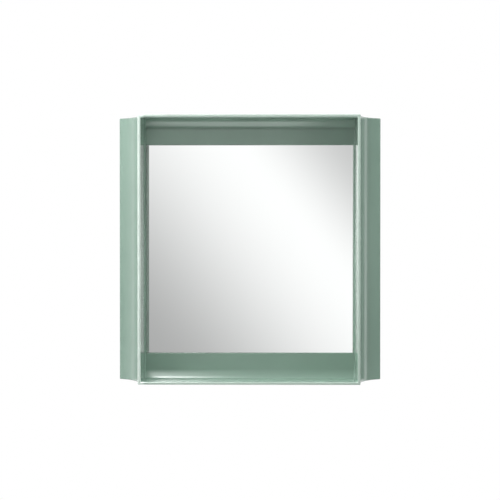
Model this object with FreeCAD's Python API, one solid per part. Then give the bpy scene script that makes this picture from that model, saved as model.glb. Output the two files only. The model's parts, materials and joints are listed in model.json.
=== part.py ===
import FreeCAD, Part
import math
import os
from FreeCAD import Vector

# Square wall mirror set deep in a one-piece moulded frame. The lower inside wall of the frame is the shelf.
# Millimetres, +Z up. The wall plane is Y = 0, the frame looks towards -Y, and X = Z = 0 is its centre.

# Frame, outside
OUTER = 450.0  # height of the frame, and its width at the wall
DEPTH = 110.0  # from the wall to the front of the rim
FLARE = 39.3  # how far each side spreads between the rim and the wall
FLARE_END_ANGLE = 28.0  # angle in degrees between the flare's outer edge and the wall
BACK_EDGE = 1.0  # straight edge that meets the wall at the end of the flare
BACK_ROUND = 2.0  # rounding between the flare and that edge
END_ROUND = 1.5  # rounding along the top and bottom outlines

# Frame, inside
RIM = 4.8  # width of the front rim
RIM_ROUND = 2.0  # rounding of the rim
WALL = 3.0  # moulded wall
DRAFT = 0.25  # angle in degrees at which the side walls close towards the mirror
SHELF_FALL = 1.6  # angle in degrees at which the shelf falls, and the ceiling rises, towards the mirror
COVE = 15.7  # height of the cove where shelf and ceiling turn into the band beside the mirror
COVE_ROUND = 2.5  # radius of the cove at the shelf
COVE_SWEEP = 22.0  # radius of the cove at the band
BAND = 28.8  # flat band between each cove and the mirror
GROOVE = 2.0  # width of the groove between the upper cove and its band
GROOVE_DEPTH = 1.4
SIDE_LIP = 2.6  # narrow lip between each side wall and the mirror
LIP_ROUND = 1.5  # rounding of each band's edge at the mirror
SEAT_RELIEF = 1.2  # groove between the frame and the glass, all round the mirror
TRAY_CORNER = 1.5  # rounding between the side walls and the shelf, ceiling and bands
CORE_GAP = 4.0  # narrowest hollow behind the skin
RIB = 2.0  # thickness of the stiffening ribs
RIB_PITCH = 60.0

# Mirror and what holds it, from the wall forwards
PANEL_SETBACK = 2.5  # from the wall to the rear panel
PANEL = 2.5  # thickness of the rear panel
TAPE = 1.0  # thickness of the foam tape
BACKING = 0.3  # silvering, paint and safety film on the glass
GLASS = 4.0  # thickness of the glass
GLASS_LAP = 3.0  # how far the glass reaches behind the frame on each side
GLASS_ARRIS = 0.5  # bevel on the edges of the glass
GLASS_CLEARANCE = 1.0  # from the edge of the glass to what stands round it
TAPE_WIDTH = 25.0
TAPE_INSET = 33.0  # from the middle of each outer tape to the edge of the glass
TAPE_MARGIN = 16.0  # from the end of each tape to the edge of the glass
TAPE_NAMES = ("far_left", "left", "right", "far_right")
PANEL_MARGIN = 6.0  # from the centres of the screws to the edge of the panel
PANEL_CORNER = 10.0
SCREW_PITCH = 120.0

# Screws, given as shank and head radius, head height and length under the head
BOSS_RADIUS = 4.0
PANEL_SCREW = {"shank": 1.45, "head": 2.8, "height": 1.6, "length": 7.5}
HANGER_SCREW = {"shank": 1.7, "head": 3.2, "height": 2.0, "length": 6.5}
SCREW_CLEARANCE = 0.05  # round the shank in its boss
HOLE_CLEARANCE = 0.3  # round the shank in a plate
HOLE_SPARE = 0.5  # depth of a boss hole below the tip of its screw
HEAD_BEVEL = 0.7  # bevel round the top of each head

# Hangers
HANGER_INSET = 75.0  # from each side of the frame to the middle of its hanger
HANGER_WIDTH = 64.0
HANGER_HEIGHT = 24.0
HANGER_CORNER = 3.0
HANGER = 1.5  # thickness of the steel
HANGER_SETBACK = 2.5  # from the wall to the hanger
HANGER_SCREW_PITCH = 48.0
KEYHOLE_ENTRY = 5.5  # radius that the head of the wall screw goes through
KEYHOLE_SLOT = 3.0  # radius of the slot that its shank slides up into
KEYHOLE_FOOT = 8.0  # from the lower edge of the hanger up to the entry's centre
KEYHOLE_HEAD = 4.0  # from the end of the slot up to the upper edge of the hanger

# Wall pads on the rear panel
PAD_RADIUS = 7.0
PAD_MARGIN = 8.0  # from the pad to the edge of the panel
PAD_BEVEL = 0.6

# Depths, measured from the wall plane
PANEL_BACK = -PANEL_SETBACK
PANEL_FRONT = PANEL_BACK - PANEL
TAPE_FRONT = PANEL_FRONT - TAPE
GLASS_BACK = TAPE_FRONT - BACKING
SEAT = GLASS_BACK - GLASS
BAND_FRONT = SEAT - WALL
FRONT = -DEPTH

# Widths, measured from the centre
HALF = OUTER / 2
HALF_FRONT = HALF - FLARE
TRAY_DEPTH = BAND_FRONT - FRONT
SIDE_SLOPE = math.tan(math.radians(DRAFT))
SHELF_SLOPE = math.tan(math.radians(SHELF_FALL))
TRAY_X = HALF_FRONT - RIM - TRAY_DEPTH * SIDE_SLOPE
TRAY_Z = HALF - RIM + TRAY_DEPTH * SHELF_SLOPE
BAND_END = TRAY_Z - COVE
WINDOW_X = TRAY_X - SIDE_LIP
WINDOW_Z = BAND_END - BAND
GLASS_X = WINDOW_X + GLASS_LAP
GLASS_Z = WINDOW_Z + GLASS_LAP
BOSS_X = GLASS_X + GLASS_CLEARANCE + BOSS_RADIUS
BOSS_Z = GLASS_Z + GLASS_CLEARANCE + BOSS_RADIUS
PANEL_X = BOSS_X + PANEL_MARGIN
PANEL_Z = BOSS_Z + PANEL_MARGIN
HANGER_X = HALF - HANGER_INSET
HANGER_Z = (PANEL_Z + HALF - WALL) / 2
KEYHOLE_Z = HANGER_Z - HANGER_HEIGHT / 2 + KEYHOLE_FOOT
KEYHOLE_DROP = HANGER_HEIGHT - KEYHOLE_FOOT - KEYHOLE_SLOT - KEYHOLE_HEAD
HANGER_BACK = -HANGER_SETBACK
HANGER_FRONT = HANGER_BACK - HANGER

# The flare follows an ellipse that leaves the rim square to the wall and ends at FLARE_END_ANGLE
END_ANGLE = math.radians(FLARE_END_ANGLE)
FLARE_START = FRONT + RIM_ROUND
FLARE_RUN = FLARE - BACK_ROUND * (1 - math.sin(END_ANGLE))
FLARE_DEPTH = -BACK_EDGE - BACK_ROUND * math.cos(END_ANGLE) - FLARE_START
_ratio = math.tan(END_ANGLE) * FLARE_RUN / FLARE_DEPTH
FLARE_END_SINE = _ratio / (1 - _ratio)
FLARE_X_AXIS = FLARE_RUN / (1 - FLARE_END_SINE)
FLARE_Y_AXIS = FLARE_DEPTH / math.sqrt(1 - FLARE_END_SINE**2)
FLARE_CENTRE = Vector(HALF_FRONT + FLARE_X_AXIS, FLARE_START, 0)

MIRROR_X = Vector(1, 0, 0)
ORIGIN = Vector(0, 0, 0)
TO_WALL = Vector(0, 1, 0)
REACH = 10.0  # how far a cutting tool runs past the face it opens


def slab(x_half, z_half, y_front, y_back, x=0.0, z=0.0):
    """A block centred on (x, z) between two depths."""
    corner = Vector(x - x_half, y_front, z - z_half)
    return Part.makeBox(2 * x_half, y_back - y_front, 2 * z_half, corner)


def rod(radius, y_front, y_back, x, z):
    """A round bar along Y between two depths."""
    return Part.makeCylinder(radius, y_back - y_front, Vector(x, y_front, z), TO_WALL)


def along_y(shape):
    return [e for e in shape.Edges if abs(e.tangentAt(e.FirstParameter).y) > 0.999]


def rounded_plate(x_half, z_half, corner, y_front, y_back, x=0.0, z=0.0):
    plate = slab(x_half, z_half, y_front, y_back, x, z)
    return plate.makeFillet(corner, along_y(plate))


def fuse(shapes):
    whole = shapes[0].multiFuse(shapes[1:]) if len(shapes) > 1 else shapes[0]
    return whole.removeSplitter()


def pattern(pitch, limit):
    """Positions a pitch apart, on both sides of the centre and within the limit."""
    count = int(limit // pitch)
    return [i * pitch for i in range(-count, count + 1)]


def flare_arc(inset, y_end):
    """The right-hand flare, or a curve inside it, from the rim to a depth. The inset thickens the wall evenly."""
    x_axis = FLARE_X_AXIS + inset
    y_axis = FLARE_Y_AXIS + inset
    ellipse = Part.Ellipse(
        FLARE_CENTRE + Vector(0, y_axis, 0), FLARE_CENTRE - Vector(x_axis, 0, 0), FLARE_CENTRE
    )
    end = math.acos((y_end - FLARE_START) / y_axis)
    return ellipse, end


def plan_outline():
    """The frame seen from above: the rim's front, its rounded corners, the two flares and the wall plane."""
    end_y = FLARE_START + FLARE_DEPTH
    ellipse, end = flare_arc(0.0, end_y)
    flare = Part.ArcOfEllipse(ellipse, end, math.pi / 2).toShape()
    rim_middle = Vector(
        HALF_FRONT - RIM_ROUND * (1 - math.sqrt(0.5)), FRONT + RIM_ROUND * (1 - math.sqrt(0.5)), 0
    )
    rim_corner = Part.Arc(
        Vector(HALF_FRONT - RIM_ROUND, FRONT, 0), rim_middle, Vector(HALF_FRONT, FLARE_START, 0)
    ).toShape()
    half_turn = (math.pi / 2 + END_ANGLE) / 2
    back_middle = Vector(
        HALF - BACK_ROUND * (1 - math.sin(half_turn)), -BACK_EDGE - BACK_ROUND * math.cos(half_turn), 0
    )
    back_corner = Part.Arc(
        Vector(HALF_FRONT + FLARE_RUN, end_y, 0), back_middle, Vector(HALF, -BACK_EDGE, 0)
    ).toShape()
    back_edge = Part.makeLine(Vector(HALF, -BACK_EDGE, 0), Vector(HALF, 0, 0))
    right = [rim_corner, flare, back_corner, back_edge]
    left = [e.mirror(ORIGIN, MIRROR_X) for e in right]
    front = Part.makeLine(Vector(RIM_ROUND - HALF_FRONT, FRONT, 0), Vector(HALF_FRONT - RIM_ROUND, FRONT, 0))
    back = Part.makeLine(Vector(-HALF, 0, 0), Vector(HALF, 0, 0))
    return Part.Face(Part.Wire(Part.__sortEdges__([front, back] + right + left)))


def outer_block():
    """The frame before it is hollowed, with its top and bottom outlines rounded."""
    face = plan_outline()
    face.translate(Vector(0, 0, -HALF))
    block = face.extrude(Vector(0, 0, OUTER))
    ends = [
        e
        for e in block.Edges
        if abs(abs(e.BoundBox.ZMin) - HALF) < 1e-6
        and e.BoundBox.ZLength < 1e-6
        and e.BoundBox.YMin < -1e-6
    ]
    return block.makeFillet(END_ROUND, ends)


def frustum(x_half, z_half, y_front, spread, y_back):
    """A block that widens evenly on all sides from one depth to another, or narrows if the spread is negative."""
    x_back = x_half + spread
    z_back = z_half + spread
    return Part.makeWedge(-x_half, y_front, -z_half, -z_back, -x_back, x_half, y_back, z_half, z_back, x_back)


def tray_half(y):
    """Half the tray's width at a depth."""
    return TRAY_X + (BAND_FRONT - y) * SIDE_SLOPE


def plan_block(plan):
    """A block as tall as the frame over a plan that is the same on both sides, given as half widths and depths."""
    points = [Vector(x, y, -HALF) for x, y in plan] + [Vector(-x, y, -HALF) for x, y in reversed(plan)]
    return Part.Face(Part.makePolygon(points + points[:1])).extrude(Vector(0, 0, OUTER))


def on_arc(centre, radius, angle):
    """A point on an upper cove. The angle is 0 where the cove leaves the band and grows towards the ceiling."""
    return centre + Vector(0, radius * math.cos(angle), radius * math.sin(angle))


def upper_cove():
    """The two arcs from the upper band to the ceiling, and the point where they meet it."""
    fall = math.radians(SHELF_FALL)
    spare = COVE - COVE_SWEEP * SHELF_SLOPE - COVE_ROUND / math.cos(fall)
    turn = fall + math.asin(spare * math.cos(fall) / (COVE_SWEEP - COVE_ROUND))
    last = math.pi / 2 + fall
    sweep_centre = Vector(0, BAND_FRONT - COVE_SWEEP, BAND_END)
    round_centre = on_arc(sweep_centre, COVE_SWEEP - COVE_ROUND, turn)
    arcs = []
    for centre, radius, first, final in (
        (sweep_centre, COVE_SWEEP, 0.0, turn),
        (round_centre, COVE_ROUND, turn, last),
    ):
        angles = (first, (first + final) / 2, final)
        arcs.append(Part.Arc(*[on_arc(centre, radius, a) for a in angles]).toShape())
    return arcs, on_arc(round_centre, COVE_ROUND, last)


def tray_block():
    """The space in front of the mirror, with sloping shelf and ceiling, coves and drafted side walls."""
    front_y = FRONT - REACH
    arcs, end = upper_cove()
    mouth = Vector(0, front_y, TRAY_Z - (BAND_FRONT - front_y) * SHELF_SLOPE)
    upper = arcs + [Part.makeLine(end, mouth)]
    lower = [e.mirror(ORIGIN, Vector(0, 0, 1)) for e in upper]
    band = Part.makeLine(Vector(0, BAND_FRONT, -BAND_END), Vector(0, BAND_FRONT, BAND_END))
    front = Part.makeLine(mouth, Vector(0, front_y, -mouth.z))
    profile = Part.Face(Part.Wire(Part.__sortEdges__([band, front] + upper + lower)))
    profile.translate(Vector(-HALF, 0, 0))
    sides = plan_block([(tray_half(y), y) for y in (front_y, BAND_FRONT + REACH)])
    tray = profile.extrude(Vector(OUTER, 0, 0)).common(sides)
    walls = [f for f in tray.Faces if abs(f.normalAt(0, 0).x) > 0.9]
    turns = [e for f in walls for e in f.Edges if e.BoundBox.YMax > front_y + 1e-6]
    return tray.makeFillet(TRAY_CORNER, turns)


def hollow(y_front):
    """Everything inside the outer skin from a depth back to the wall."""
    ellipse, end = flare_arc(WALL, 0.0)
    start = math.acos((y_front - FLARE_START) / (FLARE_Y_AXIS + WALL))
    right = Part.ArcOfEllipse(ellipse, end, start).toShape()
    left = right.mirror(ORIGIN, MIRROR_X)
    lines = []
    for y in (y_front, 0.0):
        reach = max(v.X for v in right.Vertexes if abs(v.Y - y) < 1e-6)
        lines.append(Part.makeLine(Vector(-reach, y, 0), Vector(reach, y, 0)))
    face = Part.Face(Part.Wire(Part.__sortEdges__([right, left] + lines)))
    inside = HALF - WALL
    face.translate(Vector(0, 0, -inside))
    return face.extrude(Vector(0, 0, 2 * inside))


def wing_front():
    """The depth at which the hollow between flare and side wall has become CORE_GAP wide."""
    wall_x = HALF_FRONT - RIM + WALL + CORE_GAP
    cosine = (FLARE_CENTRE.x - wall_x) / (FLARE_X_AXIS + WALL)
    return FLARE_START + (FLARE_Y_AXIS + WALL) * math.sqrt(1 - cosine**2)


def side_core():
    """The tray and its side walls, which the side hollows keep clear of."""
    return plan_block([(tray_half(y) + WALL, y) for y in (FRONT, SEAT)])


def panel_boss_places():
    places = []
    for step in pattern(SCREW_PITCH, GLASS_Z):
        places += [(side * BOSS_X, step) for side in (-1, 1)]
    for step in pattern(SCREW_PITCH, GLASS_X):
        places += [(step, side * BOSS_Z) for side in (-1, 1)]
    return places


def hanger_boss_places():
    return [
        (side * HANGER_X + end * HANGER_SCREW_PITCH / 2, HANGER_Z)
        for side in (-1, 1)
        for end in (-1, 1)
    ]


def ribs_and_bosses():
    """What stands in the hollows: ribs across them, and the bosses that the screws bite into."""
    keep = []
    for step in pattern(RIB_PITCH, GLASS_Z):
        keep.append(slab(HALF, RIB / 2, FRONT, PANEL_FRONT, z=step))
    for step in pattern(RIB_PITCH, WINDOW_X - RIB):
        keep.append(slab(RIB / 2, HALF, FRONT, PANEL_FRONT, x=step))
    keep += [rod(BOSS_RADIUS, FRONT, PANEL_FRONT, x, z) for x, z in panel_boss_places()]
    pocket = slab(GLASS_X + GLASS_CLEARANCE, GLASS_Z + GLASS_CLEARANCE, SEAT, REACH)
    stand = fuse(keep).cut(pocket)
    hangers = [rod(BOSS_RADIUS, FRONT, HANGER_FRONT, x, z) for x, z in hanger_boss_places()]
    return fuse([stand] + hangers)


def screw_holes():
    holes = []
    for screw, places, seat, plate in (
        (PANEL_SCREW, panel_boss_places(), PANEL_BACK, PANEL),
        (HANGER_SCREW, hanger_boss_places(), HANGER_BACK, HANGER),
    ):
        radius = screw["shank"] + SCREW_CLEARANCE
        tip = seat - screw["length"] - HOLE_SPARE
        holes += [rod(radius, tip, seat - plate + REACH, x, z) for x, z in places]
    return holes


def window_cuts():
    """The mirror's window, its rounded edges, the groove at the glass and the one under the upper cove."""
    cuts = [slab(WINDOW_X, WINDOW_Z, BAND_FRONT - REACH, SEAT)]
    lip_y = BAND_FRONT + LIP_ROUND
    for side in (-1, 1):
        edge = slab(WINDOW_X, LIP_ROUND / 2, BAND_FRONT, lip_y, z=side * (WINDOW_Z + LIP_ROUND / 2))
        end = Vector(-HALF, lip_y, side * (WINDOW_Z + LIP_ROUND))
        cuts.append(edge.cut(Part.makeCylinder(LIP_ROUND, OUTER, end, Vector(1, 0, 0))))
    cuts.append(frustum(WINDOW_X, WINDOW_Z, SEAT - SEAT_RELIEF, SEAT_RELIEF, SEAT))
    groove_end = BAND_FRONT + GROOVE_DEPTH
    cuts.append(slab(TRAY_X, GROOVE / 2, BAND_FRONT - GROOVE, groove_end, z=BAND_END - GROOVE / 2))
    return cuts


def frame_shell():
    shell = outer_block().cut(tray_block())
    rim = [
        e
        for e in shell.Edges
        if abs(e.BoundBox.YMax - FRONT) < 1e-6
        and e.BoundBox.XMax < HALF_FRONT - RIM + 1e-3
        and e.BoundBox.XMin > RIM - HALF_FRONT - 1e-3
        and e.BoundBox.ZMax < HALF - RIM + 1e-3
        and e.BoundBox.ZMin > RIM - HALF - 1e-3
    ]
    shell = shell.makeFillet(RIM_ROUND, rim)
    wings = hollow(wing_front()).cut(side_core())
    void = fuse([wings, hollow(SEAT)]).cut(ribs_and_bosses())
    return shell.cut(window_cuts() + [void] + screw_holes()).removeSplitter()


def mirror_glass():
    pane = slab(GLASS_X, GLASS_Z, SEAT, GLASS_BACK)
    return pane.makeChamfer(GLASS_ARRIS, pane.Edges)


def mirror_backing():
    return slab(GLASS_X - GLASS_ARRIS, GLASS_Z - GLASS_ARRIS, GLASS_BACK, TAPE_FRONT)


def foam_tapes():
    outer = GLASS_X - TAPE_INSET
    pitch = 2 * outer / (len(TAPE_NAMES) - 1)
    length = GLASS_Z - TAPE_MARGIN
    return {
        f"foam_tape_{name}": slab(TAPE_WIDTH / 2, length, TAPE_FRONT, PANEL_FRONT, x=i * pitch - outer)
        for i, name in enumerate(TAPE_NAMES)
    }


def rear_panel():
    panel = rounded_plate(PANEL_X, PANEL_Z, PANEL_CORNER, PANEL_FRONT, PANEL_BACK)
    radius = PANEL_SCREW["shank"] + HOLE_CLEARANCE
    return panel.cut([rod(radius, PANEL_FRONT - 1, PANEL_BACK + 1, x, z) for x, z in panel_boss_places()])


def screw(size, y_seat, x, z):
    """A pan-head screw driven towards the front."""
    top = y_seat + size["height"]
    head = rod(size["head"], y_seat, top, x, z)
    crown = [e for e in head.Edges if abs(e.BoundBox.YMin - top) < 1e-6]
    head = head.makeChamfer(HEAD_BEVEL, crown)
    shank = rod(size["shank"], y_seat - size["length"], y_seat, x, z)
    return fuse([head, shank])


def screws(size, y_seat, places):
    return Part.makeCompound([screw(size, y_seat, x, z) for x, z in places])


def hanger_plate(side):
    x = side * HANGER_X
    plate = rounded_plate(
        HANGER_WIDTH / 2, HANGER_HEIGHT / 2, HANGER_CORNER, HANGER_FRONT, HANGER_BACK, x, HANGER_Z
    )
    y0, y1 = HANGER_FRONT - 1, HANGER_BACK + 1
    cuts = [
        rod(KEYHOLE_ENTRY, y0, y1, x, KEYHOLE_Z),
        rod(KEYHOLE_SLOT, y0, y1, x, KEYHOLE_Z + KEYHOLE_DROP),
        slab(KEYHOLE_SLOT, KEYHOLE_DROP / 2, y0, y1, x, KEYHOLE_Z + KEYHOLE_DROP / 2),
    ]
    radius = HANGER_SCREW["shank"] + HOLE_CLEARANCE
    cuts += [rod(radius, y0, y1, bx, bz) for bx, bz in hanger_boss_places() if bx * side > 0]
    return plate.cut(cuts).removeSplitter()


def wall_pad(x_side, z_side):
    reach = PAD_MARGIN + PAD_RADIUS
    pad = rod(PAD_RADIUS, PANEL_BACK, 0.0, x_side * (PANEL_X - reach), z_side * (PANEL_Z - reach))
    face = [e for e in pad.Edges if abs(e.BoundBox.YMin) < 1e-6]
    return pad.makeChamfer(PAD_BEVEL, face)


def all_parts():
    parts = {
        "frame_shell": frame_shell(),
        "mirror_glass": mirror_glass(),
        "mirror_backing": mirror_backing(),
        "rear_panel": rear_panel(),
        "panel_screws": screws(PANEL_SCREW, PANEL_BACK, panel_boss_places()),
        "hanger_plate_left": hanger_plate(-1),
        "hanger_plate_right": hanger_plate(1),
        "hanger_screws": screws(HANGER_SCREW, HANGER_BACK, hanger_boss_places()),
        "wall_pad_upper_left": wall_pad(-1, 1),
        "wall_pad_upper_right": wall_pad(1, 1),
        "wall_pad_lower_left": wall_pad(-1, -1),
        "wall_pad_lower_right": wall_pad(1, -1),
    }
    parts.update(foam_tapes())
    return parts


os.makedirs("parts", exist_ok=True)
for node, shape in all_parts().items():
    box = shape.BoundBox
    state = "valid" if shape.isValid() else "NOT VALID"
    print(f"{node}: {len(shape.Solids)} solids, {shape.Volume / 1000:.1f} cm3, {state}", end=", ")
    print(f"{box.XLength:.1f} x {box.YLength:.1f} x {box.ZLength:.1f} mm")
    shape.exportStep(f"parts/{node}.step")
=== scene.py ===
import json
import math

import bmesh
import bpy
from mathutils import Matrix, Vector


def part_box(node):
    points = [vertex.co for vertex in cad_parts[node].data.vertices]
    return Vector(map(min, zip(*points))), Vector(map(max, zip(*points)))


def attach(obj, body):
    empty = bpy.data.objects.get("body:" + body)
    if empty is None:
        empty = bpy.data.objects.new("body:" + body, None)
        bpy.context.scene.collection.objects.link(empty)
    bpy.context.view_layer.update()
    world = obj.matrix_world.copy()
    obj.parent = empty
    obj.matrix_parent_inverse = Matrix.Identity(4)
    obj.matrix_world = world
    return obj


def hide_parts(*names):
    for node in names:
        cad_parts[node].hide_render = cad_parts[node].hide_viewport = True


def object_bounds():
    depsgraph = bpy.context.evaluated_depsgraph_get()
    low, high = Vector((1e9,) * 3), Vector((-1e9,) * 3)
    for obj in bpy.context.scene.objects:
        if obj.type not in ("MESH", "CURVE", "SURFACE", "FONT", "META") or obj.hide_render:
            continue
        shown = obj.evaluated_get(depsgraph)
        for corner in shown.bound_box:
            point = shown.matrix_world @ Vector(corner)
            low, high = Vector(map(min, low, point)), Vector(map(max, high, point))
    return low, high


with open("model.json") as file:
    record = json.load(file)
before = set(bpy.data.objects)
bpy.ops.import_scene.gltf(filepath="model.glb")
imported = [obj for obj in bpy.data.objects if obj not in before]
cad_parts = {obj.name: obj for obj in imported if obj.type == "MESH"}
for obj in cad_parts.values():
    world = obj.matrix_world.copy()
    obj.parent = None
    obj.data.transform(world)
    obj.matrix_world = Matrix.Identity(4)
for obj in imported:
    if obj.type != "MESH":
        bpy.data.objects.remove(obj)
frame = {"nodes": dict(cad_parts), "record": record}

# Looks of a square wall mirror set deep in a glossy moulded frame. Metres, in the frame's own axes:
# +Z up, the wall plane is Y = 0, and the mirror looks towards -Y.

CAD_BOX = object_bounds()
NODES = frame["nodes"]
BODY = "root"
MM = 0.001

# Camera, at the photograph's viewing angle
CAMERA_PLACE = Vector((0.046, -2.96, 0.038))
CAMERA_TARGET = Vector((0.0018, -0.110, -0.0004))
LENS = 123.4
SENSOR = 36.0
CLIP_END = 50.0

# Colours, as linear values
PLASTIC = (0.262, 0.381, 0.314)
PLASTIC_DEEP = (0.238, 0.352, 0.288)
# painted highlight on the rim's front
PLASTIC_RIM_HIGHLIGHT = (0.47, 0.59, 0.52)
# brighter painted highlight on the left rim, the side the light comes from
PLASTIC_LEFT_RIM_HIGHLIGHT = (0.80, 0.92, 0.85)
# painted shade along the edge of the mirror
PLASTIC_SEAT_SHADE = (0.085, 0.110, 0.092)
SILVER = (0.945, 0.955, 0.95)
SILVER_WIPED = (0.93, 0.945, 0.938)
PAINT = (0.145, 0.175, 0.175)
PAINT_SPECKLE = (0.19, 0.22, 0.22)
FOAM = (0.74, 0.74, 0.70)
FOAM_PORE = (0.60, 0.60, 0.56)
SHEET = (0.50, 0.53, 0.50)
SHEET_DARK = (0.43, 0.46, 0.43)
SHEET_SCUFF = (0.60, 0.62, 0.60)
ZINC = (0.62, 0.63, 0.65)
ZINC_DULL = (0.46, 0.47, 0.49)
RUBBER = (0.012, 0.012, 0.013)
RUBBER_DUST = (0.045, 0.045, 0.043)
FLOOR = (0.82, 0.82, 0.81)
FLOOR_GRAIN = (0.80, 0.80, 0.79)
WHITE = (1.0, 1.0, 1.0)

# Roughness. Two values are those of the two ends of a pattern.
GLOSS_ROUGHNESS = (0.13, 0.20)  # clean, and where hands have marked it
# roughness where the painted shade lies along the mirror's edge
SEAT_SHADE_ROUGHNESS = 0.7
MIRROR_ROUGHNESS = (0.001, 0.003)  # so low that its reflections count as sharp
PAINT_ROUGHNESS = (0.5, 0.68)
FOAM_ROUGHNESS = 0.85
SHEET_ROUGHNESS = (0.62, 0.48)  # plain, and scuffed
STEEL_ROUGHNESS = (0.24, 0.40)  # bright, and dull
STEEL_LINES_ROUGHNESS = 0.08  # added by the rolling lines
RUBBER_ROUGHNESS = (0.55, 0.8)  # clean, and dusty
FLOOR_ROUGHNESS = 0.9

# Gloss, wear, and painted highlight and shade. A share is how much of such a colour shows, at the least and
# at the most.
PLASTIC_IOR = 1.5
PEEL_SCALE = 420.0  # of the orange peel
PEEL_DEPTH = 0.03 * MM
PEEL_STRENGTH = 0.03
RIM_HIGHLIGHT_REACH = 7.0 * MM  # how far behind the rim's front the painted highlight ends
RIM_HIGHLIGHT_FULL = 1.0 * MM  # how far behind it the painted highlight is at its full share
RIM_HIGHLIGHT_SHARE = (0.84, 0.92)
LIT_RIM_EDGE = -0.180  # X of the left rim, which gets the brighter painted highlight, on the side the light comes from
LIT_RIM_WIDTH = 8.0 * MM
GLASS_OVERLAP = 2.6 * MM  # of the pane behind the frame
# painted shade along the mirror's edge: how far in front of the glass it reaches, its blur and its share
SEAT_SHADE_REACH = 4.0 * MM
SEAT_SHADE_BLUR = 1.2 * MM
SEAT_SHADE_SHARE = (0.7, 1.0)
SCUFF_SHARE = (0.0, 0.6)
DUST_SHARE = (0.0, 0.8)

# Screws. The dome of a pan head is given by radius and height, as shares of the head's.
PAN_HEIGHT = {"panel_screws": 1.6 * MM, "hanger_screws": 2.0 * MM}
PAN_DOME = [(0.25, 1.0), (0.55, 0.98), (0.78, 0.90), (0.92, 0.70), (1.0, 0.45), (1.0, 0.06), (0.97, 0.0)]
SHANK_SHARE = 0.52  # of the head's radius
SCREW_SIDES = 16
SCREW_POINT = 2.2 * MM
SCREW_TIP = 0.05  # radius at the very end, as a share of the shank's
THREAD_PITCH = 1.3 * MM
THREAD_STEPS = 6  # in one pitch
THREAD_CORE = 0.74  # radius between the crests, as a share of the shank's
THREAD_STEEPNESS = 3.2
CROSS_SIZE = 1.15  # of the driver's point at its wide end, as a share of the head's radius
CROSS_DEPTH = 0.7  # of the head's height
CROSS_BAR = 0.25  # width of a bar, as a share of its length
CROSS_NARROW = 0.55  # size of the driver's point at its other end, as a share of the wide end's
DRIVE_TURN = math.radians(37.0)  # from one screw to the next
WELD = 0.001 * MM  # distance within which points of a mesh are one

# Foam tapes. Their side is given from front to back: a share of the inset, and a place in the thickness.
FOAM_STEPS = 28
FOAM_INSET = 0.6 * MM  # of the edges from the bulge between them
FOAM_INSET_LEAST = 0.6  # share of it where the wave along the strip is lowest
FOAM_WAVE = 1.9  # along the strip, in radians for each step
FOAM_WAVE_SHIFT = 40.0  # from tape to tape, in radians for each metre
FOAM_SIDE = [(1.0, -1.0), (0.55, -0.7), (0.1, -0.25), (0.1, 0.25), (0.55, 0.7), (1.0, 1.0)]

# Wall pads. Outline and moulded rings are given by radius and height, as shares of the pad's.
PAD_SIDES = 48
PAD_OUTLINE = [(0.93, 0.0), (0.97, 0.15), (1.0, 0.45), (0.985, 0.7), (0.94, 0.88), (0.87, 0.97), (0.80, 1.0)]
PAD_RINGS = (0.62, 0.34)  # radii of their middles
PAD_RING_PROFILE = [(0.09, 1.0), (0.05, 0.84), (-0.05, 0.84), (-0.09, 1.0)]

SMOOTH_ANGLE = math.radians(35.0)

# Stage. A fade is given by the two distances from the middle between which it happens.
FILL = 0.20  # level of the background's light on the object
FLOOR_SIZE = 7.0
FLOOR_DROP = 0.55  # below the object
FLOOR_FADE = (0.5, 1.9)
FLOOR_FADE_MIRRORED = (1.0, 3.3)

# The card that the mirror reflects. Its gradient is given by place and level.
MIRROR_CARD_Y = -4.6
MIRROR_CARD_SIZE = 3.4
MIRROR_CARD_FADE = (1.0, 1.6)
MIRROR_CARD_FADE_SHARP = (0.68, 0.95)  # as the mirror itself shows it
GRADIENT_ANGLE = math.radians(39.0)
GRADIENT_STOPS = [(-0.66, 0.62), (-0.242, 1.06), (0.66, 0.435)]
SECOND_COUNT = (1.4, 1.6)  # count of reflections, between a first and a second
SECOND_EDGE = (-0.15, 0.15)  # X on the card between which it darkens in a second reflection
MIRROR_IN_WALL = 0.42  # level on the right of that where the mirror shows in a wall
WALL_IN_MIRROR = 0.02  # and where a wall shows in the mirror

# The card above the view, by the middles of its two edges. On the left it brightens towards the near edge.
UPPER_CARD_WIDTH = 2.4
UPPER_CARD_FAR = Vector((0.0, -3.0, 0.42))
UPPER_CARD_NEAR = Vector((0.0, -0.28, 1.25))
UPPER_CARD_LEVEL = 1.0
UPPER_CARD_LEFT_LEVEL = 11.2  # added on the left at the near edge
UPPER_CARD_LEFT_FADE = (-0.33, -0.05)  # X between which that ends

scene = bpy.context.scene
scene.view_settings.view_transform = "Standard"


# Node helpers

def rgba(colour):
    return (*colour, 1.0)


def set_inputs(node, values):
    for key, value in values.items():
        node.inputs[key].default_value = value


def new_material(name):
    """A material with its tree, its main shader and the object's own coordinates."""
    made = bpy.data.materials.new(name)
    made.use_nodes = True
    tree = made.node_tree
    return made, tree, tree.nodes["Principled BSDF"], object_place(tree)


def object_place(tree):
    return tree.nodes.new("ShaderNodeTexCoord").outputs["Object"]


def world_place(tree):
    return tree.nodes.new("ShaderNodeNewGeometry").outputs["Position"]


def light_path(tree):
    return tree.nodes.new("ShaderNodeLightPath").outputs


def axes(tree, place):
    """The X, Y and Z of a place, as three outputs."""
    node = tree.nodes.new("ShaderNodeSeparateXYZ")
    tree.links.new(place, node.inputs["Vector"])
    return node.outputs["X"], node.outputs["Y"], node.outputs["Z"]


def distance(tree, place):
    """How far a place is from the origin."""
    node = tree.nodes.new("ShaderNodeVectorMath")
    node.operation = "LENGTH"
    tree.links.new(place, node.inputs[0])
    return node.outputs["Value"]


def stretched(tree, place, scale):
    """The coordinates with each axis scaled, for a grain that runs one way."""
    node = tree.nodes.new("ShaderNodeMapping")
    node.inputs["Scale"].default_value = scale
    tree.links.new(place, node.inputs["Vector"])
    return node.outputs["Vector"]


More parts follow.
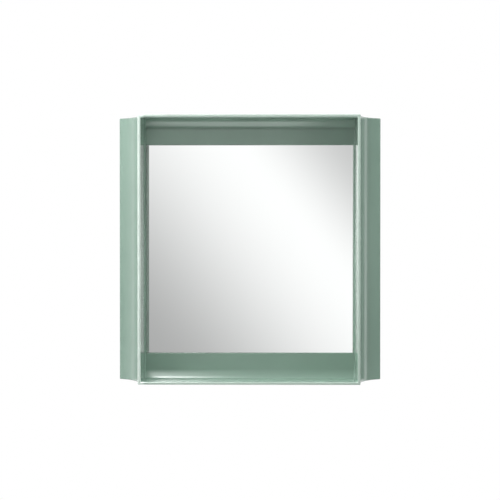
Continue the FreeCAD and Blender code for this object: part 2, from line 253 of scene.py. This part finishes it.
def noise(tree, place, scale, detail=2.0, roughness=0.5):
    """A noise value from 0 to 1. The scale is in features per metre."""
    node = tree.nodes.new("ShaderNodeTexNoise")
    set_inputs(node, {"Scale": scale, "Detail": detail, "Roughness": roughness})
    tree.links.new(place, node.inputs["Vector"])
    return node.outputs["Fac"]


def cells(tree, place, scale, feature="F1"):
    """The distance to the nearest cell's centre. The scale is in cells per metre."""
    node = tree.nodes.new("ShaderNodeTexVoronoi")
    node.feature = feature
    node.inputs["Scale"].default_value = scale
    tree.links.new(place, node.inputs["Vector"])
    return node.outputs["Distance"]


def span(tree, value, source, target=(0.0, 1.0), smooth=False):
    """Maps a value from one range to another and keeps it there."""
    node = tree.nodes.new("ShaderNodeMapRange")
    node.interpolation_type = "SMOOTHSTEP" if smooth else "LINEAR"
    set_inputs(node, {"From Min": source[0], "From Max": source[1]})
    set_inputs(node, {"To Min": target[0], "To Max": target[1]})
    tree.links.new(value, node.inputs["Value"])
    return node.outputs["Result"]


def calculate(tree, operation, first, second):
    """An arithmetic operation on two values. Each is a number or another node's output."""
    node = tree.nodes.new("ShaderNodeMath")
    node.operation = operation
    for socket, value in zip(node.inputs, (first, second)):
        if isinstance(value, float):
            socket.default_value = value
        else:
            tree.links.new(value, socket)
    return node.outputs["Value"]


def product(tree, first, *others):
    """The values multiplied together."""
    for other in others:
        first = calculate(tree, "MULTIPLY", first, other)
    return first


def largest(tree, first, *others):
    """The largest of the values."""
    for other in others:
        first = calculate(tree, "MAXIMUM", first, other)
    return first


def inside(tree, value, limit, blur):
    """1 where a value lies between -limit and +limit, and 0 beyond the blur outside."""
    return span(tree, calculate(tree, "ABSOLUTE", value, 0.0), (limit, limit + blur), (1.0, 0.0))


def mixed(tree, share, first, second):
    """A colour between two, by a share. Each is a colour or another node's output."""
    node = tree.nodes.new("ShaderNodeMix")
    node.data_type = "RGBA"
    tree.links.new(share, node.inputs["Factor"])
    for socket, colour in ((node.inputs["A"], first), (node.inputs["B"], second)):
        if isinstance(colour, tuple):
            socket.default_value = rgba(colour)
        else:
            tree.links.new(colour, socket)
    return node.outputs["Result"]


def bump(tree, shader, layers):
    """Stacks layers on the shader's normal. Each is a height, its depth in metres and its strength."""
    normal = None
    for height, depth, strength in layers:
        node = tree.nodes.new("ShaderNodeBump")
        set_inputs(node, {"Distance": depth, "Strength": strength})
        tree.links.new(height, node.inputs["Height"])
        if normal is not None:
            tree.links.new(normal, node.inputs["Normal"])
        normal = node.outputs["Normal"]
    tree.links.new(normal, shader.inputs["Normal"])


def show(tree, share, first, second):
    """Makes a material or the world show one shader where the share is 0 and another where it is 1."""
    mix = tree.nodes.new("ShaderNodeMixShader")
    tree.links.new(share, mix.inputs["Fac"])
    tree.links.new(first, mix.inputs[1])
    tree.links.new(second, mix.inputs[2])
    output = tree.nodes.get("World Output") or tree.nodes["Material Output"]
    tree.links.new(mix.outputs["Shader"], output.inputs["Surface"])


# Materials

def rim_highlight_masks(tree, place):
    """How much painted highlight the rim's front gets, in patches, and how much of that is the brighter
    painted highlight on the left rim.
    """
    x, y, _ = axes(tree, place)
    front = CAD_BOX[0].y
    rim = span(tree, y, (front + RIM_HIGHLIGHT_REACH, front + RIM_HIGHLIGHT_FULL), smooth=True)
    patches = span(tree, noise(tree, place, scale=60.0, detail=4.0), (0.2, 0.8), RIM_HIGHLIGHT_SHARE)
    left_lit = span(tree, x, (LIT_RIM_EDGE, LIT_RIM_EDGE + LIT_RIM_WIDTH), (1.0, 0.0), smooth=True)
    return product(tree, rim, patches), left_lit


def painted_seat_shade(tree, place):
    """How much painted shade lies along the edge of the mirror, in patches. There is less of it to the
    right, where the light falls.
    """
    x, y, z = axes(tree, place)
    low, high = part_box("mirror_glass")
    near = span(tree, y, (low.y - SEAT_SHADE_REACH, low.y - SEAT_SHADE_REACH / 2))
    in_width = inside(tree, x, high.x, SEAT_SHADE_BLUR)
    in_height = inside(tree, z, high.z - GLASS_OVERLAP, SEAT_SHADE_BLUR)
    shaded_side = span(tree, x, (0.0, high.x), (1.0, 0.0))
    patches = span(tree, noise(tree, place, scale=45.0, detail=4.0), (0.2, 0.7), SEAT_SHADE_SHARE)
    return product(tree, near, in_width, in_height, shaded_side, patches)


def gloss_plastic():
    """Moulded gloss plastic: slow drift of the colour, faint orange peel and hand marks.

    The rim's front carries a patchy painted highlight, brightest on the left rim, and painted shade darkens
    the plastic along the edge of the mirror.
    """
    made, tree, shader, place = new_material("frame_plastic")
    drift = span(tree, noise(tree, place, scale=7.0, detail=3.0), (0.35, 0.65))
    # patchy painted highlight on the rim's front, brighter on the left rim
    rim_highlight, left_lit = rim_highlight_masks(tree, place)
    # painted shade along the edge of the mirror, less of it to the right
    seat_shade = painted_seat_shade(tree, place)
    body = mixed(tree, drift, PLASTIC_DEEP, PLASTIC)
    highlighted = mixed(tree, rim_highlight, body, mixed(tree, left_lit, PLASTIC_RIM_HIGHLIGHT, PLASTIC_LEFT_RIM_HIGHLIGHT))
    tree.links.new(mixed(tree, seat_shade, highlighted, PLASTIC_SEAT_SHADE), shader.inputs["Base Color"])
    marks = noise(tree, place, scale=18.0, detail=5.0, roughness=0.6)
    marks = span(tree, marks, (0.35, 0.75), GLOSS_ROUGHNESS)
    rough = largest(tree, marks, product(tree, seat_shade, SEAT_SHADE_ROUGHNESS))
    tree.links.new(rough, shader.inputs["Roughness"])
    bump(tree, shader, [(noise(tree, place, PEEL_SCALE), PEEL_DEPTH, PEEL_STRENGTH)])
    set_inputs(shader, {"IOR": PLASTIC_IOR})
    return made


def mirror_silver():
    """Silvered float glass with faint wiping marks. Its reflection is sharp."""
    made, tree, shader, place = new_material("mirror")
    wiped = noise(tree, stretched(tree, place, (1.0, 1.0, 0.35)), scale=22.0, detail=6.0, roughness=0.65)
    tree.links.new(mixed(tree, wiped, SILVER, SILVER_WIPED), shader.inputs["Base Color"])
    tree.links.new(span(tree, wiped, (0.55, 0.8), MIRROR_ROUGHNESS), shader.inputs["Roughness"])
    set_inputs(shader, {"Metallic": 1.0})
    return made


def backing_paint():
    """Sprayed protective paint with a fine speckle."""
    made, tree, shader, place = new_material("mirror_paint")
    speckle = noise(tree, place, scale=260.0, detail=4.0, roughness=0.7)
    tree.links.new(mixed(tree, speckle, PAINT, PAINT_SPECKLE), shader.inputs["Base Color"])
    tree.links.new(span(tree, speckle, (0.3, 0.7), PAINT_ROUGHNESS), shader.inputs["Roughness"])
    bump(tree, shader, [(speckle, 0.05 * MM, 0.3)])
    return made


def foam_tape():
    """White foam with open pores."""
    made, tree, shader, place = new_material("foam_tape")
    pores = cells(tree, place, scale=1600.0)
    tree.links.new(mixed(tree, pores, FOAM_PORE, FOAM), shader.inputs["Base Color"])
    bump(tree, shader, [(pores, 0.15 * MM, 0.5)])
    set_inputs(shader, {"Roughness": FOAM_ROUGHNESS})
    return made


def panel_sheet():
    """Grained sheet of matt plastic, scuffed where it was handled."""
    made, tree, shader, place = new_material("panel_sheet")
    grain = cells(tree, place, scale=900.0, feature="SMOOTH_F1")
    scuff = noise(tree, stretched(tree, place, (1.0, 1.0, 6.0)), scale=16.0, detail=8.0, roughness=0.7)
    scuff = span(tree, scuff, (0.52, 0.72), SCUFF_SHARE)
    body = mixed(tree, noise(tree, place, scale=12.0, detail=4.0), SHEET_DARK, SHEET)
    tree.links.new(mixed(tree, scuff, body, SHEET_SCUFF), shader.inputs["Base Color"])
    tree.links.new(span(tree, scuff, SCUFF_SHARE, SHEET_ROUGHNESS), shader.inputs["Roughness"])
    bump(tree, shader, [(grain, 0.12 * MM, 0.55), (noise(tree, place, scale=30.0), 0.4 * MM, 0.08)])
    return made


def plated_steel():
    """Zinc-plated steel: rolling lines, cloudy plating and duller patches."""
    made, tree, shader, place = new_material("plated_steel")
    lines = noise(tree, stretched(tree, place, (0.05, 1.0, 1.0)), scale=2600.0, detail=3.0, roughness=0.6)
    cloud = span(tree, noise(tree, place, scale=140.0, detail=6.0, roughness=0.65), (0.35, 0.7))
    tree.links.new(mixed(tree, cloud, ZINC, ZINC_DULL), shader.inputs["Base Color"])
    dull = span(tree, cloud, (0.0, 1.0), STEEL_ROUGHNESS)
    rough = calculate(tree, "ADD", dull, span(tree, lines, (0.2, 0.8), (0.0, STEEL_LINES_ROUGHNESS)))
    tree.links.new(rough, shader.inputs["Roughness"])
    bump(tree, shader, [(lines, 0.02 * MM, 0.35)])
    set_inputs(shader, {"Metallic": 1.0})
    return made


def pad_rubber():
    """Black rubber with a little dust."""
    made, tree, shader, place = new_material("pad_rubber")
    dust = span(tree, noise(tree, place, scale=220.0, detail=6.0, roughness=0.7), (0.45, 0.75), DUST_SHARE)
    tree.links.new(mixed(tree, dust, RUBBER, RUBBER_DUST), shader.inputs["Base Color"])
    tree.links.new(span(tree, dust, DUST_SHARE, RUBBER_ROUGHNESS), shader.inputs["Roughness"])
    bump(tree, shader, [(noise(tree, place, scale=1500.0), 0.06 * MM, 0.4)])
    return made


MATERIALS = {
    "frame_plastic": gloss_plastic(),
    "mirror": mirror_silver(),
    "mirror_paint": backing_paint(),
    "foam_tape": foam_tape(),
    "panel_sheet": panel_sheet(),
    "plated_steel": plated_steel(),
    "pad_rubber": pad_rubber(),
}


def dress_nodes():
    """Gives each CAD node the material of its slot in the record."""
    for part in frame["record"]["subparts"]:
        slots = NODES[part["node"]].data.materials
        slots.clear()
        slots.append(MATERIALS[part["material_slot"]])


# Pieces that stand for plain CAD solids

def ring(radii, y, centre=Vector()):
    """Points round the Y axis, one for each radius."""
    points = []
    for i, radius in enumerate(radii):
        angle = 2 * math.pi * i / len(radii)
        points.append(centre + Vector((radius * math.cos(angle), y, radius * math.sin(angle))))
    return points


def skin(build, rings):
    """Joins rings of points with faces and closes both ends."""
    loops = [[build.verts.new(point) for point in points] for points in rings]
    for first, second in zip(loops, loops[1:]):
        for i in range(len(first)):
            j = (i + 1) % len(first)
            build.faces.new((first[i], first[j], second[j], second[i]))
    build.faces.new(loops[0])
    build.faces.new(loops[-1])
    bmesh.ops.recalc_face_normals(build, faces=build.faces)


def to_object(name, build):
    """Makes an object of a mesh that has been built."""
    mesh = bpy.data.meshes.new(name)
    build.to_mesh(mesh)
    build.free()
    obj = bpy.data.objects.new(name, mesh)
    scene.collection.objects.link(obj)
    return obj


def add_piece(obj, slot, *nodes):
    """Finishes a piece that stands for CAD nodes: shading, the material of a slot, its body, and the CAD
    nodes hidden.
    """
    for face in obj.data.polygons:
        face.use_smooth = True
    obj.data.set_sharp_from_angle(angle=SMOOTH_ANGLE)
    obj.data.materials.clear()
    obj.data.materials.append(MATERIALS[slot])
    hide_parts(*nodes)
    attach(obj, BODY)


def separate_boxes(node):
    """The lowest and highest corner of each separate solid of a node, in order of place."""
    build = bmesh.new()
    build.from_mesh(NODES[node].data)
    bmesh.ops.remove_doubles(build, verts=build.verts, dist=WELD)
    waiting = set(build.verts)
    boxes = []
    while waiting:
        reach = [waiting.pop()]
        points = []
        while reach:
            vert = reach.pop()
            points.append(vert.co.copy())
            near = [edge.other_vert(vert) for edge in vert.link_edges]
            near = [other for other in near if other in waiting]
            waiting.difference_update(near)
            reach += near
        low = Vector([min(p[i] for p in points) for i in range(3)])
        high = Vector([max(p[i] for p in points) for i in range(3)])
        boxes.append((low, high))
    build.free()
    return sorted(boxes, key=lambda box: tuple(round(v, 5) for v in box[0]))


def cross_cutter(size, depth):
    """Two crossed bars that narrow downwards, as the point of a cross driver does."""
    build = bmesh.new()
    long_half = size / 2
    short_half = long_half * CROSS_BAR
    for half_x, half_z in ((long_half, short_half), (short_half, long_half)):
        made = bmesh.ops.create_cube(build, size=2.0)["verts"]
        for vert in made:
            narrow = 1.0 if vert.co.y > 0 else CROSS_NARROW
            y = depth if vert.co.y > 0 else -depth
            vert.co = Vector((vert.co.x * half_x * narrow, y, vert.co.z * half_z * narrow))
    return to_object("cross_cutter", build)


def thread_radii(shank, down):
    """The radii round a threaded shank at a depth, with the crest of the thread where it passes."""
    radii = []
    for i in range(SCREW_SIDES):
        turn = (down / THREAD_PITCH + i / SCREW_SIDES) % 1.0
        crest = max(0.0, 1.0 - THREAD_STEEPNESS * abs(turn - 0.5))
        radii.append(shank * (THREAD_CORE + (1.0 - THREAD_CORE) * crest))
    return radii


def screw_mesh(head, height, shank, length):
    """A self-tapping screw along Y, seated at 0: a domed pan head with a cross recess, and a thread."""
    rings = [ring([head * share] * SCREW_SIDES, height * rise) for share, rise in PAN_DOME]
    steps = round(length / THREAD_PITCH * THREAD_STEPS)
    for i in range(steps + 1):
        down = length * i / steps
        point = min(1.0, (length - down) / SCREW_POINT + SCREW_TIP)
        rings.append(ring(thread_radii(point * shank, down), -down))
    build = bmesh.new()
    skin(build, rings)
    blank = to_object("screw_blank", build)
    cutter = cross_cutter(head * CROSS_SIZE, height * CROSS_DEPTH)
    cutter.location.y = height
    cut = blank.modifiers.new("recess", "BOOLEAN")
    cut.operation = "DIFFERENCE"
    cut.solver = "EXACT"
    cut.use_self = True
    cut.object = cutter
    bpy.context.view_layer.update()
    ready = blank.evaluated_get(bpy.context.evaluated_depsgraph_get())
    mesh = bpy.data.meshes.new_from_object(ready)
    for obj in (blank, cutter):
        bpy.data.objects.remove(obj)
    return mesh


def screws(node, height):
    """All the screws of a node as one piece, each turned a little further than the last."""
    boxes = separate_boxes(node)
    low, high = boxes[0]
    head = (high.x - low.x) / 2
    mesh = screw_mesh(head, height, head * SHANK_SHARE, high.y - low.y - height)
    build = bmesh.new()
    for i, (low, high) in enumerate(boxes):
        place = Matrix.Translation(((low.x + high.x) / 2, high.y - height, (low.z + high.z) / 2))
        turned = mesh.copy()
        turned.transform(place @ Matrix.Rotation(i * DRIVE_TURN, 4, "Y"))
        build.from_mesh(turned)
        bpy.data.meshes.remove(turned)
    bpy.data.meshes.remove(mesh)
    add_piece(to_object(node + "_detailed", build), "plated_steel", node)


def foam_strip(node):
    """A strip of foam tape whose cut sides bulge a little where it is pressed."""
    low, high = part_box(node)
    middle = (low + high) / 2
    half = (high - low) / 2
    rings = []
    for i in range(FOAM_STEPS + 1):
        z = low.z + (high.z - low.z) * i / FOAM_STEPS
        wave = 0.5 + 0.5 * math.sin(i * FOAM_WAVE + middle.x * FOAM_WAVE_SHIFT)
        inset = FOAM_INSET * (FOAM_INSET_LEAST + (1.0 - FOAM_INSET_LEAST) * wave)
        right = [
            Vector((middle.x + half.x - inset * share, middle.y + half.y * depth, z))
            for share, depth in FOAM_SIDE
        ]
        left = [Vector((2 * middle.x - p.x, p.y, z)) for p in reversed(right)]
        rings.append(right + left)
    build = bmesh.new()
    skin(build, rings)
    obj = to_object(node + "_pressed", build)
    add_piece(obj, "foam_tape", node)


def rubber_pad(node):
    """A round rubber pad: a bulging side, a rounded edge and two rings moulded into its face."""
    low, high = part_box(node)
    centre = Vector(((low.x + high.x) / 2, 0.0, (low.z + high.z) / 2))
    radius = (high.x - low.x) / 2
    depth = high.y - low.y
    outline = list(PAD_OUTLINE)
    for middle in PAD_RINGS:
        outline += [(middle + side, rise) for side, rise in PAD_RING_PROFILE]
    rings = [ring([radius * share] * PAD_SIDES, low.y + depth * rise, centre) for share, rise in outline]
    build = bmesh.new()
    skin(build, rings)
    obj = to_object(node + "_moulded", build)
    add_piece(obj, "pad_rubber", node)


# Stage

def background():
    """White to the eye and in reflections; a softer level lights the object."""
    world = bpy.data.worlds.new("studio")
    scene.world = world
    world.use_nodes = True
    tree = world.node_tree
    fill = tree.nodes["Background"]
    set_inputs(fill, {"Color": rgba(WHITE), "Strength": FILL})
    seen = tree.nodes.new("ShaderNodeBackground")
    set_inputs(seen, {"Color": rgba(WHITE), "Strength": 1.0})
    path = light_path(tree)
    rays = largest(tree, path["Is Camera Ray"], path["Is Glossy Ray"], path["Is Transmission Ray"])
    show(tree, rays, fill.outputs["Background"], seen.outputs["Background"])


def flat_piece(name, width, height, centre, facing):
    """A staged rectangle that looks in a direction, for the floor, a card or a flag."""
    build = bmesh.new()
    bmesh.ops.create_grid(build, x_segments=1, y_segments=1, size=0.5)
    bmesh.ops.scale(build, vec=(width, height, 1.0), verts=build.verts)
    obj = to_object(name, build)
    obj.location = centre
    obj.rotation_mode = "QUATERNION"
    obj.rotation_quaternion = Vector(facing).to_track_quat("Z", "Y")
    return obj


def floor():
    """A pale floor that keeps the shadow near the object and fades into the white background.

    In reflections it fades later, so that the mirror shows some floor in other views.
    """
    obj = flat_piece("floor", FLOOR_SIZE, FLOOR_SIZE, (0.0, 0.0, CAD_BOX[0].z - FLOOR_DROP), (0, 0, 1))
    made, tree, shader, place = new_material("floor")
    set_inputs(shader, {"Roughness": FLOOR_ROUGHNESS})
    grain = noise(tree, place, scale=40.0, detail=4.0)
    tree.links.new(mixed(tree, grain, FLOOR, FLOOR_GRAIN), shader.inputs["Base Color"])
    away = distance(tree, place)
    path = light_path(tree)
    rays = largest(tree, path["Is Camera Ray"], path["Is Transmission Ray"])
    seen = product(tree, rays, span(tree, away, FLOOR_FADE, smooth=True))
    mirrored = product(tree, path["Is Glossy Ray"], span(tree, away, FLOOR_FADE_MIRRORED, smooth=True))
    glow = tree.nodes.new("ShaderNodeEmission")
    set_inputs(glow, {"Color": rgba(WHITE), "Strength": 1.0})
    show(tree, largest(tree, seen, mirrored), shader.outputs["BSDF"], glow.outputs["Emission"])
    obj.data.materials.append(made)


def first_or_second(tree, first, second):
    """One value where a reflection is seen itself, and another where it is seen in a reflection."""
    return span(tree, light_path(tree)["Glossy Depth"], SECOND_COUNT, (first, second))


def in_mirror(tree):
    """1 for a ray that comes straight from the mirror, the only sharp reflection, and 0 for any other."""
    return product(tree, light_path(tree)["Is Singular Ray"], first_or_second(tree, 1.0, 0.0))


def add_glow(obj, level, mirrored=False):
    """Gives a card a glow that shows in reflections only. Unless mirrored, it is clear to the mirror."""
    made = bpy.data.materials.new(obj.name)
    made.use_nodes = True
    tree = made.node_tree
    tree.nodes.remove(tree.nodes["Principled BSDF"])
    glow = tree.nodes.new("ShaderNodeEmission")
    set_inputs(glow, {"Color": rgba(WHITE), "Strength": level})
    if mirrored:
        tree.links.new(glow.outputs["Emission"], tree.nodes["Material Output"].inputs["Surface"])
    else:
        clear = tree.nodes.new("ShaderNodeBsdfTransparent")
        show(tree, in_mirror(tree), glow.outputs["Emission"], clear.outputs["BSDF"])
    obj.data.materials.append(made)
    obj.visible_camera = False
    obj.visible_diffuse = False
    obj.visible_transmission = False
    obj.visible_volume_scatter = False
    obj.visible_shadow = False
    return tree, glow


def gradient(tree, place):
    """Grey, white and grey again across the mirror's card."""
    low, high = GRADIENT_STOPS[0][0], GRADIENT_STOPS[-1][0]
    ramp = tree.nodes.new("ShaderNodeValToRGB")
    ramp.color_ramp.interpolation = "EASE"
    stops = ramp.color_ramp.elements
    while len(stops) < len(GRADIENT_STOPS):
        stops.new(0.5)
    for stop, (x, level) in zip(stops, GRADIENT_STOPS):
        stop.position = (x - low) / (high - low)
        stop.color = rgba((level, level, level))
    x, _, _ = axes(tree, place)
    tree.links.new(span(tree, x, (low, high)), ramp.inputs["Fac"])
    return ramp.outputs["Color"]


def mirror_card_centre():
    """The point of the card that the mirror shows in the middle of the picture."""
    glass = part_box("mirror_glass")[0].y
    eye = Vector((CAMERA_PLACE.x, 2 * glass - CAMERA_PLACE.y, CAMERA_PLACE.z))
    ahead = CAMERA_TARGET - CAMERA_PLACE
    seen = CAMERA_PLACE + ahead * ((glass - CAMERA_PLACE.y) / ahead.y)
    return eye + (seen - eye) * ((MIRROR_CARD_Y - eye.y) / (seen.y - eye.y))


def mirror_card():
    """The card that the mirror reflects: a gradient across its diagonal, and white round its edge.

    The side walls and the mirror reflect each other, and there the right of the card is darker.
    """
    obj = flat_piece("mirror_card", MIRROR_CARD_SIZE, MIRROR_CARD_SIZE, mirror_card_centre(), (0, 1, 0))
    turned = Matrix.Rotation(-GRADIENT_ANGLE, 3, "Y").to_quaternion()
    obj.rotation_quaternion = turned @ obj.rotation_quaternion
    tree, glow = add_glow(obj, 1.0, mirrored=True)
    place = object_place(tree)
    away = distance(tree, place)
    sharp_edge = product(tree, in_mirror(tree), span(tree, away, MIRROR_CARD_FADE_SHARP, smooth=True))
    edge = largest(tree, span(tree, away, MIRROR_CARD_FADE, smooth=True), sharp_edge)
    tree.links.new(mixed(tree, edge, gradient(tree, place), WHITE), glow.inputs["Color"])
    x, _, _ = axes(tree, world_place(tree))
    on_right = span(tree, x, SECOND_EDGE)
    level = span(tree, light_path(tree)["Is Singular Ray"], (0.0, 1.0), (WALL_IN_MIRROR, MIRROR_IN_WALL))
    loss = product(tree, first_or_second(tree, 0.0, 1.0), on_right, calculate(tree, "SUBTRACT", 1.0, level))
    tree.links.new(calculate(tree, "SUBTRACT", 1.0, loss), glow.inputs["Strength"])


def upper_card():
    """A wide sloping card above the view, which brightens on the left towards its near edge."""
    along = UPPER_CARD_NEAR - UPPER_CARD_FAR
    centre = (UPPER_CARD_FAR + UPPER_CARD_NEAR) / 2
    obj = flat_piece("upper_card", UPPER_CARD_WIDTH, along.length, centre, (0.0, along.z, -along.y))
    tree, glow = add_glow(obj, UPPER_CARD_LEVEL)
    x, y, _ = axes(tree, world_place(tree))
    near = span(tree, y, (UPPER_CARD_FAR.y, UPPER_CARD_NEAR.y), (0.0, UPPER_CARD_LEFT_LEVEL))
    left = span(tree, x, UPPER_CARD_LEFT_FADE, (1.0, 0.0), smooth=True)
    level = calculate(tree, "ADD", product(tree, near, left), UPPER_CARD_LEVEL)
    tree.links.new(level, glow.inputs["Strength"])


def plain_card(name, size, centre, facing, level, second_level=None):
    """A card of one even level. It can have another level for a reflection in a reflection."""
    obj = flat_piece(name, *size, centre, facing)
    tree, glow = add_glow(obj, level)
    if second_level is not None:
        tree.links.new(first_or_second(tree, level, second_level), glow.inputs["Strength"])


def cards():
    """What the mirror and the gloss reflect.

    The upper card and the streak card make the streak along the back of the shelf.
    """
    mirror_card()
    upper_card()
    plain_card(
        "streak_card",
        size=(0.75, 0.55),
        centre=(-0.54, -0.54, 1.02),
        facing=(0.38, 0.34, -1.15),
        level=20.0,
    )
    plain_card(
        "lower_card",
        size=(0.42, 2.4),
        centre=(-0.07, -1.8, -0.65),
        facing=(0, 0.066, 0.998),
        level=4.4,
        second_level=1.0,
    )
    plain_card("band_card", size=(0.66, 0.44), centre=(-0.14, -4.4, 0.63), facing=(0, 1, 0), level=3.0)
    plain_card("left_card", size=(2.6, 0.7), centre=(-1.9, -2.9, 0.0), facing=(0.55, 0.83, 0.0), level=6.0)
    plain_card("right_flag", size=(1.8, 2.6), centre=(1.3, 0.1, 0.0), facing=(-1, 0, 0), level=0.15)


def softbox(name, place, target, size, radiance):
    """An area lamp of an even radiance, aimed at a point. The gloss shows the cards in its place."""
    data = bpy.data.lights.new(name, "AREA")
    data.shape = "RECTANGLE"
    data.size, data.size_y = size
    data.energy = radiance * math.pi * data.size * data.size_y
    obj = bpy.data.objects.new(name, data)
    obj.location = place
    obj.rotation_mode = "QUATERNION"
    obj.rotation_quaternion = (Vector(target) - Vector(place)).to_track_quat("-Z", "Y")
    obj.visible_glossy = False
    scene.collection.objects.link(obj)


def lamps():
    """A long softbox above, softer ones from the left and the right, and one for the back."""
    softbox("top_softbox", (-0.15, -0.44, 1.07), (-0.05, -0.06, -0.13), size=(1.5, 0.3), radiance=8.6)
    softbox("upper_left_softbox", (-0.95, -0.45, 0.85), (-0.2, -0.05, 0.2), size=(0.5, 0.5), radiance=4.3)
    softbox("left_softbox", (-1.3, -0.3, 0.3), (-0.2, -0.05, 0.0), size=(0.7, 0.7), radiance=5.7)
    softbox("right_softbox", (1.4, -1.0, 0.4), (0.0, -0.05, 0.0), size=(0.8, 0.8), radiance=4.5)
    softbox("back_softbox", (0.0, 1.9, 1.0), (0.0, 0.0, 0.0), size=(1.2, 1.0), radiance=4.0)


def camera():
    """The camera, at the photograph's viewing angle."""
    data = bpy.data.cameras.new("camera")
    data.lens = LENS
    data.sensor_width = SENSOR
    data.clip_end = CLIP_END
    obj = bpy.data.objects.new("camera", data)
    obj.location = CAMERA_PLACE
    obj.rotation_mode = "QUATERNION"
    obj.rotation_quaternion = (CAMERA_TARGET - CAMERA_PLACE).to_track_quat("-Z", "Y")
    scene.collection.objects.link(obj)
    scene.camera = obj


dress_nodes()
for name, height in PAN_HEIGHT.items():
    screws(name, height)
for name in NODES:
    if name.startswith("foam_tape"):
        foam_strip(name)
    if name.startswith("wall_pad"):
        rubber_pad(name)
background()
floor()
cards()
lamps()
camera()
